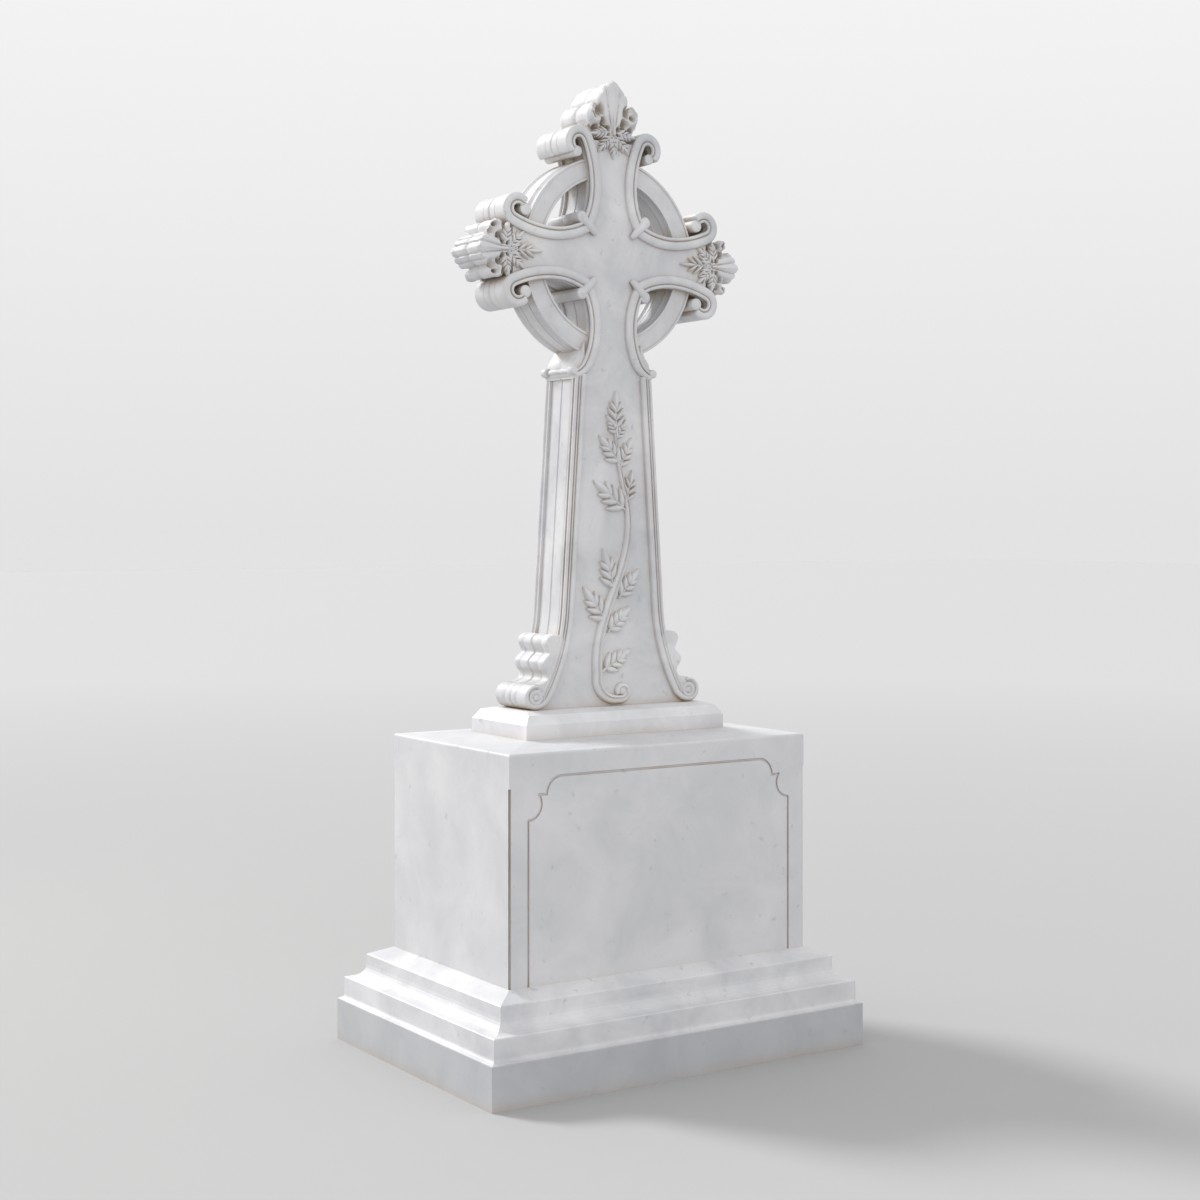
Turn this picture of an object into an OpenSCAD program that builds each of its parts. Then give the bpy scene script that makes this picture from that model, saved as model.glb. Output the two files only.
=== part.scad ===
// Ringed Celtic cross gravestone in carved marble: a moulded plinth, a die with a
// scalloped panel line, a foot slab and a one-stone cross with scrolled mouldings,
// leaf crests and a climbing vine. Sizes in mm. X is the width, the carved front
// faces -Y, Z is up. The origin is the middle of the plinth's underside.

/* [Plinth] */
// Width of the plinth's lowest band
plinth_width = 1246; // [800:1:1800]
// Depth of the plinth's lowest band
plinth_depth = 896; // [600:1:1400]
// Height of the plinth's lowest band
fascia_height = 119; // [60:1:240]
// Height of the small cove above the lowest band
small_cove_height = 13; // [6:1:30]
// How far the middle band stands behind the lowest one
middle_inset = 15; // [8:1:40]
// Height of the middle band
middle_height = 52; // [25:1:100]
// Height of the wide cove above the middle band
wide_cove_height = 38; // [20:1:80]
// How far the upper band stands behind the lowest one
upper_inset = 63; // [45:1:90]
// Height of the upper band
upper_height = 32; // [15:1:60]
// Rise of the sloped top of the plinth
plinth_slope = 23; // [0:1:40]

/* [Die] */
// Width of the die
die_width = 1000; // [700:1:1100]
// Depth of the die
die_depth = 656; // [450:1:740]
// Height of the die at its edges
die_height = 622; // [450:1:1000]
// Rise of the die's sloped top
die_slope = 12; // [0:1:40]
// Radius of the die's top edges
die_edge = 7; // [2:0.5:15]
// Half width of the panel line on the die's front
panel_half = 441; // [380:1:460]
// Distance of the panel line's top from the die's top edge
panel_drop = 65; // [40:1:120]
// Width of the cut panel line
line_width = 7; // [3:0.5:12]
// Depth of the cut panel line
line_depth = 5; // [2:0.5:10]
// Radius of the scallop in the panel line's shoulder
scallop_radius = 42; // [25:1:60]
// Radius of the panel line's upper corners
shoulder_radius = 47; // [25:1:70]
// Length of the short step in the panel line
step_length = 25; // [10:1:50]
// Distance of the corner quirks' ends from the die's top edge
quirk_drop = 92; // [40:1:200]

/* [Foot slab] */
// Width of the foot slab
slab_width = 678; // [630:1:900]
// Depth of the foot slab
slab_depth = 304; // [240:1:420]
// Height of the foot slab's upright edge
slab_edge_height = 40; // [20:1:80]
// Rise of the foot slab's bevel
slab_bevel_rise = 26; // [10:1:50]
// How far the bevel runs in
slab_bevel_run = 18; // [8:1:40]
// Rise of the foot slab's top, from the bevel to the cross
slab_top_rise = 8; // [0:1:20]

/* [Cross] */
// Depth of the cross over its mouldings
cross_depth = 172; // [130:1:220]
// How far the plain face lies behind the mouldings
face_sink = 15; // [8:1:24]
// Height of the arms' middle line above the foot slab
arm_height = 1293; // [1100:1:1500]
// Half width of the upright at its narrowest, over the mouldings
upright_half = 80; // [70:1:95]
// Half height of the arms at their narrowest, over the mouldings
arm_half = 75; // [65:1:90]
// Width of the moulding along every edge
band = 37; // [30:1:44]
// Distance of the narrowest places from the crossing
waist = 202; // [180:1:225]
// Radius of the mouldings near the crossing
inner_sweep = 230; // [200:1:260]
// Radius of the mouldings out to the hooks
outer_sweep = 322; // [300:1:360]
// Angle of the outer sweep where a hook starts
hook_start = 24.5; // [20:0.5:28]
// Radius of a hook over its moulding
hook_radius = 48; // [44:1:54]
// Angle that a hook's moulding turns through
hook_turn = 196; // [160:1:215]
// Radius of the eye rolled up in a hook
eye_radius = 15; // [10:1:18]
// Outer radius of the ring
ring_radius = 293; // [275:1:310]
// Width of the ring's face
ring_width = 60; // [45:1:75]
// Depth of the ring
ring_depth = 126; // [100:1:150]
// Radius of the full-depth roll in each inner corner
corner_roll = 17; // [12:1:20]
// Radius of the strap that ties each inner corner
strap_radius = 10; // [7:1:13]

/* [Crests] */
// Reach of the top crest above the crossing
crown_reach = 516; // [480:1:560]
// Reach of the side crests from the crossing
side_reach = 453; // [430:1:500]
// Where the crests rise from the arm ends
crest_root = 370; // [355:1:380]
// Half width of a crest's middle leaf
crest_half = 50; // [40:1:60]

/* [Shaft] */
// Half width of the shaft at its shoulders
shoulder_half = 131; // [120:1:145]
// Height of the shoulders above the foot slab
shoulder_height = 955; // [900:1:985]
// Half width of the shaft where the foot scrolls start
foot_half = 174; // [160:1:190]
// Height above the foot slab where the foot scrolls start
foot_height = 285; // [250:1:320]
// Sink of the side panels between the edge mouldings
side_sink = 7; // [3:1:12]

/* [Foot scrolls] */
// Radius of the long sweep into a foot scroll
foot_sweep = 575; // [550:1:600]
// Angle where the long sweep ends
foot_turn = 30; // [26:0.5:32]
// Radius of the roll at the bottom of a foot scroll
foot_roll = 34; // [26:1:42]
// Radius of the roll at the top of a foot scroll
top_roll = 20; // [14:1:26]

/* [Vine] */
// How far the vine stands out from the plain face
vine_relief = 9; // [4:1:13]
// Swing of the vine's stem to either side
vine_swing = 55; // [35:1:65]
// Width of the stem at its foot
stem_width = 24; // [14:1:30]

/* [Hidden] */
$fn = 48;
white_marble = [0.86, 0.86, 0.87];

middle_z = fascia_height + small_cove_height;
wide_cove_z = middle_z + middle_height;
upper_z = wide_cove_z + wide_cove_height;
plinth_height = upper_z + upper_height + plinth_slope;

die_shoulder = plinth_height + die_height;
die_top = die_shoulder + die_slope;
panel_top = die_shoulder - panel_drop;
step_z = panel_top - shoulder_radius;
scallop_angle = 36;
scallop_z = step_z - scallop_radius * sin(scallop_angle);
step_x = panel_half - scallop_radius * cos(scallop_angle);

slab_z = die_top + slab_edge_height;
slab_top = slab_z + slab_bevel_rise + slab_top_rise;
seat_x = 300;
seat_y = cross_depth / 2 + 6;

face = cross_depth / 2 - face_sink;
roll = 9;
bead = 6;
centre = slab_top + arm_height;
shoulder_z = slab_top + shoulder_height;
foot_z = slab_top + foot_height;
half_depth = cross_depth / 2;
shaft_lean = atan2(foot_half - shoulder_half, shoulder_z - foot_z);
crossing = 88;
crossing_angle = asin((waist - crossing) / inner_sweep);
shoulder_turn = 22;
shoulder_bend = 95;
shoulder_end = 76;
eye_angle = -82;

// The long sweep and the short sweep into a foot scroll, along the inner edge
sweep_start = [foot_half - band * cos(shaft_lean), foot_z - band * sin(shaft_lean)];
sweep_centre = sweep_start + foot_sweep * [cos(shaft_lean), sin(shaft_lean)];
sweep_end = sweep_centre - foot_sweep * [cos(foot_turn), sin(foot_turn)];
toe_sweep = (sweep_end[1] - slab_top - 2) / (1 - sin(foot_turn));
toe_centre = sweep_end + toe_sweep * [cos(foot_turn), sin(foot_turn)];

// Points of a hollow quarter curve from a level start up to an upright end
function cove(x0, z0, x1, z1) =
    [for (a = [0:15:90]) [x0 - (x0 - x1) * sin(a), z1 - (z1 - z0) * cos(a)]];

// Points along an arc from angle a to angle b
function arc(c, r, a, b, n) = [for (i = [0:n]) c + r * [cos(a + (b - a) * i / n), sin(a + (b - a) * i / n)]];

// Unit normal of a chain of points at point i
function side_way(p, i) =
    let (d = p[min(i + 1, len(p) - 1)] - p[max(i - 1, 0)]) [-d[1], d[0]] / norm(d);

// Outline of a ribbon that follows a chain of points and narrows from w0 to w1
function ribbon(p, w0, w1) =
    let (n = len(p) - 1)
    concat(
        [for (i = [0:n]) p[i] + (w0 + (w1 - w0) * i / n) / 2 * side_way(p, i)],
        [for (i = [n:-1:0]) p[i] - (w0 + (w1 - w0) * i / n) / 2 * side_way(p, i)]
    );

// Half width of a lobed leaf, at the share s of its length
function leaf_half(s, w, lobes) = w * sin(180 * pow(s, 0.7)) * (0.62 + 0.38 * abs(sin(180 * lobes * s)));

// Outline of a lobed leaf that grows along +X
function leaf(l, w, lobes) =
    let (n = 4 * lobes)
    concat(
        [for (i = [0:n]) [l * i / n, max(leaf_half(i / n, w, lobes), 0.4)]],
        [for (i = [n:-1:0]) [l * i / n, -max(leaf_half(i / n, w, lobes), 0.4)]]
    );

// An upright profile, given as [distance from the middle, height] points, run along
// Y or X, and the block where the two runs meet, which has mitred mouldings
module run_profile(points, length) {
    mirrored = [for (i = [len(points) - 1:-1:0]) [-points[i][0], points[i][1]]];
    rotate([90, 0, 0]) linear_extrude(length, center = true) polygon(concat(points, mirrored));
}

module moulded_block(front_points, side_points, size) {
    intersection() {
        run_profile(front_points, size);
        rotate([0, 0, 90]) run_profile(side_points, size);
    }
}

function plinth_profile(h) = concat(
    [[0, 0], [h, 0], [h, fascia_height], [h - 4, fascia_height + 2]],
    cove(h - 5, fascia_height + 3, h - middle_inset, middle_z),
    [[h - middle_inset, wide_cove_z - 2], [h - middle_inset - 2, wide_cove_z]],
    cove(h - middle_inset - 6, wide_cove_z + 1, h - upper_inset, upper_z),
    [[h - upper_inset, upper_z + upper_height - 3], [h - upper_inset - 3, upper_z + upper_height]]
);

module base_plinth() {
    color(white_marble)
        moulded_block(
            concat(plinth_profile(plinth_width / 2), [[die_width / 2, plinth_height], [0, plinth_height]]),
            concat(plinth_profile(plinth_depth / 2), [[die_depth / 2, plinth_height], [0, plinth_height]]),
            2 * plinth_width
        );
}

function die_profile(h, slab_half) = concat(
    [[0, plinth_height], [h, plinth_height]],
    arc([h - die_edge, die_shoulder - die_edge], die_edge, 0, 80, 4),
    [[slab_half, die_top], [0, die_top]]
);

// A curved strip between the radii r0 and r1 round the point c, from angle a to b
module curved_strip(c, r0, r1, a, b) {
    translate(c) intersection() {
        difference() {
            circle(r1, $fn = 96);
            circle(r0, $fn = 96);
        }
        polygon(concat([[0, 0]], arc([0, 0], 2 * r1, a, b, max(2, ceil(abs(b - a) / 40)))));
    }
}

module line_arc(x, z, r, a, b) {
    curved_strip([x, z], r - line_width / 2, r + line_width / 2, a, b);
}

module panel_line_half() {
    rise = scallop_z - scallop_radius;
    translate([panel_half - line_width / 2, plinth_height - 1]) square([line_width, rise - plinth_height + 1]);
    line_arc(panel_half, scallop_z, scallop_radius, 180 - scallop_angle, 272);
    translate([step_x - step_length - line_width / 2, step_z - line_width / 2])
        square([step_length + line_width, line_width]);
    line_arc(step_x - step_length - shoulder_radius, step_z, shoulder_radius, -2, 90);
    translate([-1, panel_top - line_width / 2])
        square([step_x - step_length - shoulder_radius + 1, line_width]);
}

module corner_quirk() {
    translate([die_width / 2, -die_depth / 2, plinth_height - 1])
        rotate([0, 0, 45])
            translate([-line_width / 2, -line_width - 4, 0])
                cube([line_width, 2 * line_width + 8, die_height - quirk_drop + 1]);
}

module die_block() {
    color(white_marble) difference() {
        moulded_block(
            die_profile(die_width / 2, slab_width / 2),
            die_profile(die_depth / 2, slab_depth / 2),
            2 * die_width
        );
        translate([0, line_depth - die_depth / 2, 0]) rotate([90, 0, 0])
            linear_extrude(2 * line_depth)
                for (side = [0, 1]) mirror([side, 0]) panel_line_half();
        for (side = [0, 1], end = [0, 1]) mirror([side, 0, 0]) mirror([0, end, 0]) corner_quirk();
    }
}

function slab_profile(h, seat) = [
    [0, die_top], [h, die_top], [h, slab_z], [h - 2, slab_z + 2],
    [h - slab_bevel_run, slab_z + slab_bevel_rise], [seat, slab_top], [0, slab_top]
];

module foot_slab() {
    color(white_marble)
        moulded_block(
            slab_profile(slab_width / 2, seat_x),
            slab_profile(slab_depth / 2, seat_y),
            2 * slab_width
        );
}

// A flat shape drawn as [x, z], run through the depth
module through(depth) {
    rotate([90, 0, 0]) linear_extrude(depth, center = true) children();
}

// The edge moulding is a strip that runs round every edge of the cross, along runs of
// arcs. Each arc is [centre, radius at the strip's inner edge, first angle, last angle].
function hook_centre(half) =
    [half - band / 2 + outer_sweep, waist]
    + (outer_sweep - hook_radius + band / 2) * [cos(180 - hook_start), sin(180 - hook_start)];

// One side of an arm of the head, drawn along +Z with the crossing at the origin:
// the two sweeps of its moulding and the hook at the end
function hooked_side(half) =
    let (middle = half - band / 2, way = 180 - hook_start)
    [
        [[middle + inner_sweep, waist], inner_sweep + band / 2, 180 + crossing_angle, 180],
        [[middle + outer_sweep, waist], outer_sweep + band / 2, 180, way],
        [hook_centre(half), hook_radius, way, way - hook_turn]
    ];

// One side of the neck below the crossing, which turns out to a shoulder knob, drawn
// upwards from the crossing
function shoulder_side() =
    let (
        near = [upright_half - band / 2 + inner_sweep, waist],
        way = 180 - shoulder_turn,
        bend = near + (inner_sweep + band / 2 - shoulder_bend) * [cos(way), sin(way)]
    )
    [
        [near, inner_sweep + band / 2, 180 + crossing_angle, way],
        [bend, shoulder_bend, way, 180 - shoulder_end]
    ];

// The long and the short sweep of a foot scroll, down to the roll at its toe
function foot_side() = [
    [sweep_centre, foot_sweep, 180 + shaft_lean, 180 + foot_turn],
    [toe_centre, toe_sweep, 180 + foot_turn, 262]
];

// Points along a run of arcs, at the distance e from the outer edge of the strip, in
// steps that keep within a third of a millimetre of the true arc. Both ends stop
// short by the angle t
function run_points(arcs, e, t) = [
    for (k = [0:len(arcs) - 1])
        let (
            q = arcs[k],
            way = sign(q[3] - q[2]) * t,
            first = q[2] + (k == 0 ? way : 0),
            last = q[3] - (k == len(arcs) - 1 ? way : 0),
            steps = ceil(abs(last - first) * sqrt(q[1]) / 85)
        )
        for (i = [(k == 0 ? 0 : 1):steps])
            let (a = first + (last - first) * i / steps)
            q[0] + max(q[1] - band + e, 0.5) * [cos(a), sin(a)]
];

// The strip along a run of arcs between the distances e0 and e1 from its outer edge.
// The higher a strip of the stepped profile stands, the sooner its ends stop
module strip(arcs, e0, e1) {
    inner = run_points(arcs, e1, e0 / 8);
    outer = run_points(arcs, e0, e0 / 8);
    polygon(concat(inner, [for (i = [len(outer) - 1:-1:0]) outer[i]]));
}

// The strip along an edge of the shaft, from its shoulder to the toe of its foot scroll
module shaft_side(e0, e1) {
    across = [cos(shaft_lean), sin(shaft_lean)];
    top = [shoulder_half, shoulder_z - e0 / 4];
    inner = run_points(foot_side(), e1, 0);
    outer = run_points(foot_side(), e0, 0);
    polygon(concat([top - e1 * across], inner, [for (i = [len(outer) - 1:-1:0]) outer[i]], [top - e0 * across]));
}

// All the moulding of the cross, between the distances e0 and e1 from its outer edge
module moulding(e0, e1) {
    translate([0, centre]) for (side = [0, 1]) mirror([side, 0]) {
        strip(hooked_side(upright_half), e0, e1);
        mirror([0, 1]) strip(shoulder_side(), e0, e1);
        for (end = [0, 1]) mirror([0, end]) mirror([1, -1]) strip(hooked_side(arm_half), e0, e1);
    }
    for (side = [0, 1]) mirror([side, 0]) shaft_side(e0, e1);
}

// The eyes rolled up in the hooks, the knobs that end the shoulders and the rolls
// in the inner corners, for one side of the head
module hook_eyes() {
    eye_way = (hook_radius - eye_radius - 3) * [cos(eye_angle), sin(eye_angle)];
    upper = hook_centre(upright_half) + eye_way;
    outer = hook_centre(arm_half) + eye_way;
    translate(upper) circle(eye_radius);
    for (end = [-1, 1]) translate([outer[1], end * outer[0]]) circle(eye_radius);
}

module shoulder_knob() {
    way = 180 - shoulder_turn;
    near = [upright_half - band / 2 + inner_sweep, waist];
    bend = near + (inner_sweep + band / 2 - shoulder_bend) * [cos(way), sin(way)];
    knob = bend + (shoulder_bend - band / 2) * [-cos(shoulder_end), sin(shoulder_end)];
    translate([knob[0], -knob[1]]) circle(band / 2 - 3);
}

module corner_rolls() {
    for (end = [-1, 1]) translate([crossing + 22, end * (crossing + 22)]) circle(corner_roll);
}

// The straps that tie the inner corners, of width w, for one side of the head
module straps(w) {
    strap_at = crossing - 21;
    for (end = [0, 1]) mirror([0, end]) translate([strap_at, strap_at]) {
        circle(w / 2 + 1);
        rotate(45) translate([0, -w / 2]) square([43 * sqrt(2), w]);
    }
}

// The flat core of the head, [x, z] from the crossing
module head_core() {
    reach = crest_root + 2;
    block = crossing + 12;
    difference() {
        union() {
            translate([-block, shoulder_z - centre]) square([2 * block, reach - shoulder_z + centre]);
            translate([-reach, -block]) square([2 * reach, 2 * block]);
        }
        for (side = [0, 1], end = [0, 1]) mirror([side, 0]) mirror([0, end])
            intersection() {
                translate([upright_half - band / 2 + inner_sweep, waist]) circle(inner_sweep, $fn = 96);
                translate([waist, arm_half - band / 2 + inner_sweep]) circle(inner_sweep, $fn = 96);
            }
    }
}

// The solid of a hook between its moulding and its eye
module hook_core(half) {
    way = 180 - hook_start;
    curved_strip(hook_centre(half), hook_radius - band + 3, hook_radius - 6, eye_angle - 10, way);
}

// The ring: sunk faces between fillets, stepped hollows and a flat middle band
module ring() {
    inner = ring_radius - ring_width;
    rotate([90, 0, 0]) rotate_extrude() difference() {
        translate([inner, -ring_depth / 2]) square([ring_width, ring_depth]);
        for (way = [-1, 1]) {
            translate([inner + 8, way * ring_depth / 2 - 4]) square([ring_width - 14, 8]);
            for (step = [0, 1], x = [inner, ring_radius])
                translate([x - 3 - 3 * step, way * ring_depth / 3 - 15 + 5 * step])
                    square([6 + 6 * step, 30 - 10 * step]);
        }
    }
}

// Half outline of a crest's middle leaf, [half width, height]: blunt sides that
// close to a point, with a notched margin
function crest_side(height) = [for (i = [0:18])
    let (u = i / 18)
    [max(crest_half * (1 - pow(u, 4)) * (0.93 + 0.07 * abs(cos(540 * u))), 0.5), u * height]];

// The body of a crest, drawn upwards from the crossing: a middle leaf between two
// curled side leaves
module crest_body(reach) {
    height = reach - crest_root;
    right = crest_side(height);
    translate([0, crest_root]) {
        polygon(concat(right, [for (i = [len(right) - 1:-1:0]) [-right[i][0], right[i][1]]]));
        for (side = [-1, 1]) translate([side * crest_half, -22]) circle(34);
    }
}

module crest_side_leaves(reach) {
    height = reach - crest_root;
    for (side = [-1, 1])
        translate([side * crest_half * 1.35, crest_root + 0.28 * height])
            polygon([for (t = [0:20:340]) [crest_half * 0.5 * cos(t), 0.24 * height * sin(t)]]);
}

// The ribs of a crest and the spray of small leaves that points back to the crossing
module crest_ribs(reach) {
    height = reach - crest_root;
    translate([0, crest_root - 22])
        for (k = [-2:2]) rotate(90 + k * 15) leaf_shape((height + 26) * (1 - 0.09 * abs(k)), 7, 1);
}

module crest_spray() {
    translate([0, crest_root - 32]) {
        rotate(-90) leaf_shape(92, 15, 3);
        for (side = [-1, 1], k = [1:3]) rotate(-90 + side * (8 + 36 * k)) leaf_shape(88 - 12 * k, 17, 3);
    }
}

// Puts a flat shape at the top and at both ends of the arms: 0 is the top one
module at_ends(end) {
    translate([0, centre]) rotate(end * 90) children();
}

module leaf_shape(l, w, lobes) {
    polygon(leaf(l, w, lobes));
}

// The flat core of the shaft between its edge mouldings, down to the toes
module shaft_core() {
    inset = band / 2;
    side = concat(
        [[shoulder_half - inset, shoulder_z + 12], [foot_half - inset, foot_z]],
        arc(sweep_centre, foot_sweep - inset, 180 + shaft_lean, 180 + foot_turn, 10),
        arc(toe_centre, toe_sweep - inset, 180 + foot_turn, 250, 6),
        [[toe_centre[0] - foot_roll / 2, slab_top]]
    );
    polygon(concat(side, [for (i = [len(side) - 1:-1:0]) [-side[i][0], side[i][1]]]));
}

// The web behind a foot scroll's moulding, with a small leaf half way up
module foot_web() {
    web_x = foot_half + 34;
    hollow = [toe_centre[0] - 2, foot_z - 160];
    base = slab_top + foot_roll;
    difference() {
        translate([foot_half - 8, base]) square([toe_centre[0] - foot_half + 8, hollow[1] - base]);
        translate(hollow) circle(54);
    }
    difference() {
        translate([foot_half - 8, hollow[1] - 1]) square([web_x - foot_half + 18, 63]);
        translate(hollow) circle(54);
    }
    translate([web_x + 13, foot_z - 164]) circle(top_roll - 2);
}

module toe_roll() {
    translate([toe_centre[0], slab_top + foot_roll]) circle(foot_roll);
}

module scroll_top() {
    translate([foot_half + 34, foot_z - 98]) circle(top_roll);
}

// The middle line of the vine's stem, [x, height above the slab], from the curl at
// its foot, round the turn and up in one slow wave to the tip leaf
vine_turn = 63;
vine_low = 125;
vine_wave = 400;
vine_break = 615;
vine_top = 800;
curl_radius = 22;
function wave_x(h) = h < vine_break
    ? -vine_swing * cos(180 * (h - vine_low) / vine_wave)
    : 8 + (wave_x(vine_break - 0.01) - 8) * pow(max(1 - (h - vine_break) / (vine_top - vine_break), 0), 1.6);
vine_path = concat(
    arc([28, curl_radius + 18], curl_radius, 450, 270, 12),
    arc([vine_turn - vine_swing, vine_turn + 18], vine_turn, 270, 180, 8),
    [for (h = [vine_low:25:vine_top]) [wave_x(h), h]]
);

// Each leaf of the vine: height on the stem, angle from the stem's foot, length
vine_leaves = [
    [112, 42, 104], [222, 38, 92], [262, 128, 112], [318, 50, 92], [345, 107, 106],
    [566, 138, 132], [590, 72, 76], [676, 124, 96], [706, 58, 72], [764, 58, 44], [781, 118, 48]
];

module vine() {
    translate([0, -face, slab_top]) rotate([90, 0, 0]) {
        translate([0, 0, -1]) linear_extrude(vine_relief + 1) {
            polygon(ribbon(vine_path, stem_width, stem_width / 4));
            translate([28, curl_radius + 18]) circle(curl_radius * 0.6);
            translate([8, vine_top - 10]) rotate(90) leaf_shape(100, 17, 2);
        }
        for (l = vine_leaves)
            translate([wave_x(l[0]), l[0], -1]) rotate([0, 0, l[1]])
                linear_extrude(vine_relief - 1) leaf_shape(l[2], l[2] * 0.2, 3);
    }
}

// Both sides of the head, drawn from the crossing, and both sides of the foot
module head_sides() {
    translate([0, centre]) for (side = [0, 1]) mirror([side, 0]) children();
}

module foot_sides() {
    for (side = [0, 1]) mirror([side, 0]) children();
}

module cross_plain() {
    through(2 * face) {
        translate([0, centre]) head_core();
        head_sides() {
            hook_core(upright_half);
            for (end = [0, 1]) mirror([0, end]) mirror([1, -1]) hook_core(arm_half);
        }
        shaft_core();
        foot_sides() foot_web();
    }
}

// The profile of the moulding rises in steps, from its body up to the crown of its
// roll, and the crests' leaves and the rolls stand at the same levels
module carving_body() {
    through(cross_depth - 18) {
        moulding(side_sink, band);
        at_ends(0) crest_body(crown_reach);
        for (end = [-1, 1]) at_ends(end) crest_body(side_reach);
        head_sides() hook_eyes();
    }
}

module carving_leaves() {
    through(cross_depth - 12) {
        at_ends(0) crest_side_leaves(crown_reach);
        for (end = [-1, 1]) at_ends(end) crest_side_leaves(side_reach);
        for (end = [-1:1]) at_ends(end) crest_spray();
        head_sides() straps(2 * strap_radius);
        foot_sides() scroll_top();
    }
}

module carving_ribs() {
    through(cross_depth - 4) {
        moulding(band - 2 * roll, band - 1);
        at_ends(0) crest_ribs(crown_reach);
        for (end = [-1, 1]) at_ends(end) crest_ribs(side_reach);
        head_sides() corner_rolls();
        foot_sides() toe_roll();
    }
}

module carving_crowns() {
    through(cross_depth) moulding(band - 2 * roll + 5, band - 5);
    through(cross_depth + 6) head_sides() straps(strap_radius);
}

// The beads on the two arrises of every side, with the knobs of the shoulders
module side_beads() {
    for (way = [-1, 1]) translate([0, way * (half_depth - 16), 0]) through(26) {
        moulding(0, 2 * bead);
        head_sides() shoulder_knob();
    }
}

// Joined a few at a time, from the flat body outwards
module cross() {
    color(white_marble) {
        union() {
            union() {
                cross_plain();
                carving_body();
            }
            union() {
                translate([0, 0, centre]) ring();
                vine();
            }
        }
        union() {
            union() {
                side_beads();
                carving_leaves();
            }
            union() {
                carving_ribs();
                carving_crowns();
            }
        }
    }
}

base_plinth();
die_block();
foot_slab();
cross();
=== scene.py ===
"""Looks of the Celtic cross gravestone: the carved cross as fine mesh, the marble, the studio."""

import math

import bmesh
import bpy
import numpy as np
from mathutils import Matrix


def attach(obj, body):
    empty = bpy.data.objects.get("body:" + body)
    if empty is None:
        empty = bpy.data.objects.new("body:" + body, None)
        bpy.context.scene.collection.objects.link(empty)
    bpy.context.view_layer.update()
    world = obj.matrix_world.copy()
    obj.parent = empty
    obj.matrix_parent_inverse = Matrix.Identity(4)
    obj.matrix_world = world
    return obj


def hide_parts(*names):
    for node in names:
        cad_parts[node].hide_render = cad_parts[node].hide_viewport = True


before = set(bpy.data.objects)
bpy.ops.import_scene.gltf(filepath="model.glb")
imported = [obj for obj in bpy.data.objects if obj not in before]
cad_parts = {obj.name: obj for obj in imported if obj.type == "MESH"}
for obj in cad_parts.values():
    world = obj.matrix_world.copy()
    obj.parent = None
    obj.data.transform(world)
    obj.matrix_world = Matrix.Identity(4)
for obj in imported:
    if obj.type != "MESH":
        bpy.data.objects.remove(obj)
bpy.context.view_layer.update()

# Sizes in mm, as in the CAD
BAND = 37.0  # width of the edge moulding
FACE = 71.0  # plain faces of the cross, from its middle plane
DEPTH = 86.0  # crowns of the mouldings, from its middle plane
CENTRE = 2278.0  # height of the crossing
SLAB_TOP = 985.0
WAIST = 202.0
INNER_SWEEP = 230.0
OUTER_SWEEP = 322.0
HOOK_START = 24.5
HOOK_RADIUS = 48.0
HOOK_TURN = 196.0
CROSSING_ANGLE = math.degrees(math.asin((WAIST - 88) / INNER_SWEEP))
UPRIGHT_HALF = 80.0
ARM_HALF = 75.0
SHOULDER = np.array([131.0, 1940.0])
FOOT = np.array([174.0, 1270.0])
LEAN = math.degrees(math.atan2(FOOT[0] - SHOULDER[0], SHOULDER[1] - FOOT[1]))
FOOT_SWEEP = 575.0
FOOT_TURN = 30.0
FASCIA_TOP = 0.119  # in m
CORNER = 109.0  # corner rolls, sideways and upwards from the crossing
RING_INNER = 233.5
RING_OUTER = 293.0
RING_FACE = 63.0  # fillets of the ring, from its middle plane
CREST_ROOT = 368.0
CROWN_REACH = 516.0
ARM_REACH = 453.0


def turn(angle):
    """Unit vector at an angle in degrees."""
    return np.array([math.cos(math.radians(angle)), math.sin(math.radians(angle))])


def smooth(t):
    t = np.clip(t, 0, 1)
    return t * t * (3 - 2 * t)


# ---------------------------------------------------------------- mesh building


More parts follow.
